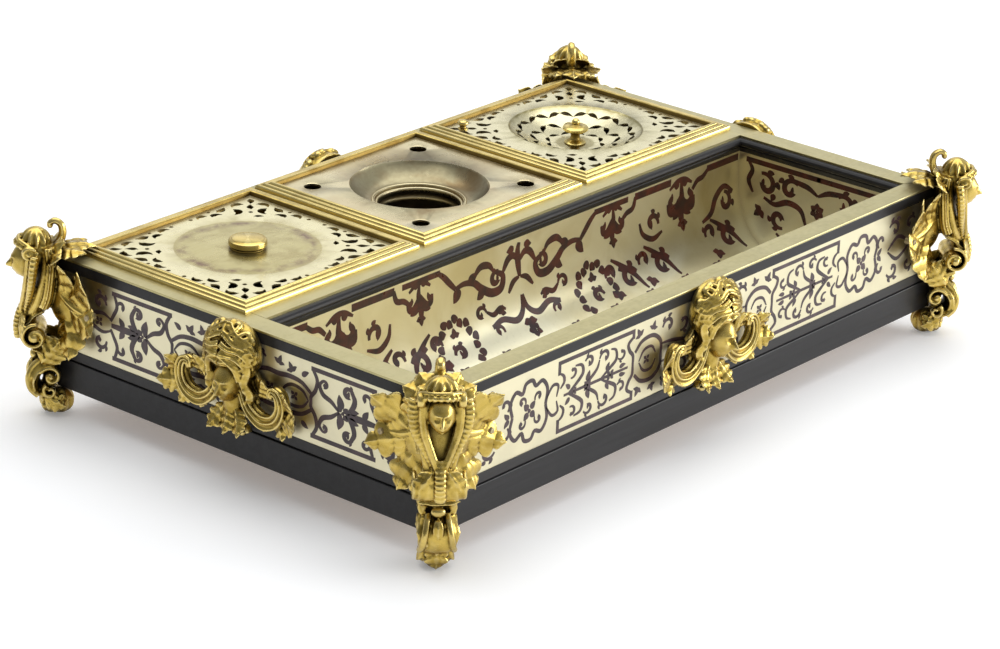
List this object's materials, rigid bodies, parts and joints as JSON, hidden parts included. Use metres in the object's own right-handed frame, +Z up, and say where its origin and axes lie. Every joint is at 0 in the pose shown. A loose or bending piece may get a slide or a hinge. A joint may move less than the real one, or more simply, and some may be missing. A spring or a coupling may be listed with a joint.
{
  "type": "desk inkstand",
  "caption": "Low rectangular desk inkstand with a coved pen tray, lift-out ink pot, quill stand and pounce box, brass marquetry sides and gilt corner mounts.",
  "frame": {"origin": "on the ground under the centre of the inkstand", "axes": "+X along the long front from left to right, +Y from the front with the pen tray towards the back with the wells, +Z up"},
  "size_m": [0.4094, 0.2714, 0.096],
  "materials": {
    "gilt_bronze": "chased and gilded bronze, bright on the high places and brown in the hollows",
    "rim_brass": "flat polished brass strip with a dull olive tone and fine scratches",
    "plate_brass": "pale pierced brass, worn and lightly stained",
    "pot_metal": "dark tarnished brass",
    "ebony": "polished black ebony veneer",
    "marquetry": "polished brass sheet inlaid with dark shell over a wooden core",
    "oak": "bare oak carcass"
  },
  "bodies": {
    "case": {"base_board": "oak", "plinth_front": "ebony", "plinth_right": "ebony", "plinth_back": "ebony", "plinth_left": "ebony", "fillet_front": "ebony", "fillet_right": "ebony", "fillet_back": "ebony", "fillet_left": "ebony", "panel_front": "marquetry", "panel_right": "marquetry", "panel_back": "marquetry", "panel_left": "marquetry", "band_front": "ebony", "band_right": "ebony", "band_back": "ebony", "band_left": "ebony", "wall_front": "oak", "wall_right": "oak", "wall_back": "oak", "wall_left": "oak", "rim_front": "rim_brass", "rim_right": "rim_brass", "rim_back": "rim_brass", "rim_left": "rim_brass", "tray_divider": "oak", "deck_rail": "rim_brass", "partition_left": "oak", "partition_right": "oak", "deck_strip_left": "rim_brass", "deck_strip_right": "rim_brass", "tray_trough": "marquetry", "tray_end_left": "marquetry", "tray_end_right": "marquetry", "tray_bead_front": "ebony", "tray_bead_right": "ebony", "tray_bead_back": "ebony", "tray_bead_left": "ebony", "mount_front_left": "gilt_bronze", "mount_front_right": "gilt_bronze", "mount_back_right": "gilt_bronze", "mount_back_left": "gilt_bronze", "mask_front": "gilt_bronze", "mask_right": "gilt_bronze", "mask_back": "gilt_bronze", "mask_left": "gilt_bronze"},
    "ink_unit": {"left_frame": "gilt_bronze", "left_pot": "pot_metal"},
    "ink_cover": {"left_cover": "plate_brass", "left_knob": "gilt_bronze"},
    "quill_unit": {"middle_frame": "gilt_bronze", "middle_pot": "pot_metal", "middle_plate": "plate_brass"},
    "pounce_unit": {"right_frame": "gilt_bronze", "right_box": "pot_metal"},
    "pounce_cover": {"right_dish": "plate_brass", "right_knob": "gilt_bronze", "right_stud": "gilt_bronze"}
  },
  "joints": [
    {"name": "ink_unit_lift", "type": "slide", "parent": "case", "child": "ink_unit", "axis": [0, 0, 1], "range_m": [0, 0.075]},
    {"name": "ink_cover_lift", "type": "slide", "parent": "ink_unit", "child": "ink_cover", "axis": [0, 0, 1], "range_m": [0, 0.03]},
    {"name": "quill_unit_lift", "type": "slide", "parent": "case", "child": "quill_unit", "axis": [0, 0, 1], "range_m": [0, 0.075]},
    {"name": "pounce_unit_lift", "type": "slide", "parent": "case", "child": "pounce_unit", "axis": [0, 0, 1], "range_m": [0, 0.075]},
    {"name": "pounce_cover_lift", "type": "slide", "parent": "pounce_unit", "child": "pounce_cover", "axis": [0, 0, 1], "range_m": [0, 0.03]}
  ]
}
